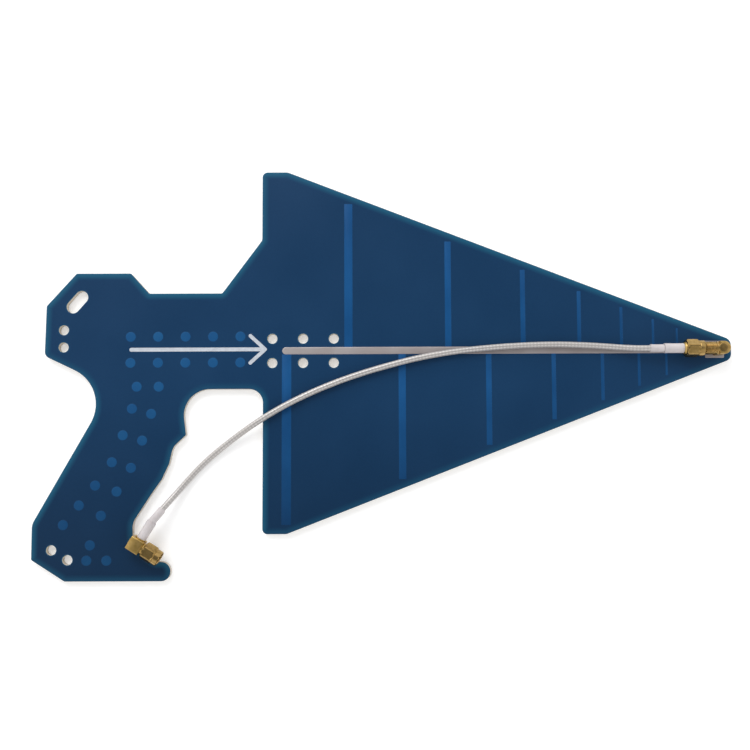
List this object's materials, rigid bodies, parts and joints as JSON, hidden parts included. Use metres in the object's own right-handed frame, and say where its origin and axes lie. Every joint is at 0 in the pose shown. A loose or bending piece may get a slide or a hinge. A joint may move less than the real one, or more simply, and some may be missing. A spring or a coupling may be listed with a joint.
{
  "type": "handheld log periodic antenna",
  "caption": "Flat pistol-grip circuit-board antenna with a tapered array of printed dipole arms, a tip jack and a short coaxial lead ending in a right-angle plug.",
  "frame": {"origin": "middle of the board outline on its back face, without the lead and its plug", "axes": "+X along the boom to the tip, +Y away from the grip, +Z out of the front face; the board lies on its back"},
  "size_m": [0.3484, 0.205, 0.0127],
  "materials": {
    "board_mask": "blue solder mask over fibreglass",
    "tinned_copper": "bare tinned copper",
    "masked_copper": "copper under blue mask",
    "masked_pads": "copper under blue mask",
    "white_ink": "printed ink",
    "gold_plate": "gold plated",
    "insulator": "white fluoropolymer",
    "contact_gold": "gold plated",
    "solder": "satin solder",
    "nut_gold": "gold plated",
    "spring_ring": "springy bronze",
    "gasket": "silicone rubber",
    "shrink_sleeve": "white heat-shrink",
    "braid_lead": "silver braid under clear jacket"
  },
  "bodies": {
    "antenna": {"board": "board_mask", "front_boom": "tinned_copper", "front_elements": "masked_copper", "back_boom": "tinned_copper", "back_elements": "masked_copper", "grip_pads": "masked_pads", "arrow_print": "white_ink", "jack_body": "gold_plate", "jack_insulator": "insulator", "jack_contact": "contact_gold", "jack_solder": "solder", "plug_body": "gold_plate", "plug_nut": "nut_gold", "plug_ring": "spring_ring", "plug_gasket": "gasket", "plug_insulator": "insulator", "plug_pin": "contact_gold", "plug_sleeve": "shrink_sleeve", "plug_sleeve_tail": "shrink_sleeve", "coax_cable": "braid_lead", "elbow_body": "gold_plate", "elbow_cap": "gold_plate", "elbow_ring": "spring_ring", "elbow_gasket": "gasket", "elbow_insulator": "insulator", "elbow_pin": "contact_gold", "elbow_sleeve": "shrink_sleeve", "elbow_sleeve_tail": "shrink_sleeve"},
    "free_nut": {"elbow_nut": "nut_gold"}
  },
  "joints": [
    {"name": "free_nut_spin", "type": "hinge", "parent": "antenna", "child": "free_nut", "pos_m": [-0.1209, -0.0845, 0.0067], "axis": [0.848, -0.5299, 0], "continuous": true}
  ]
}
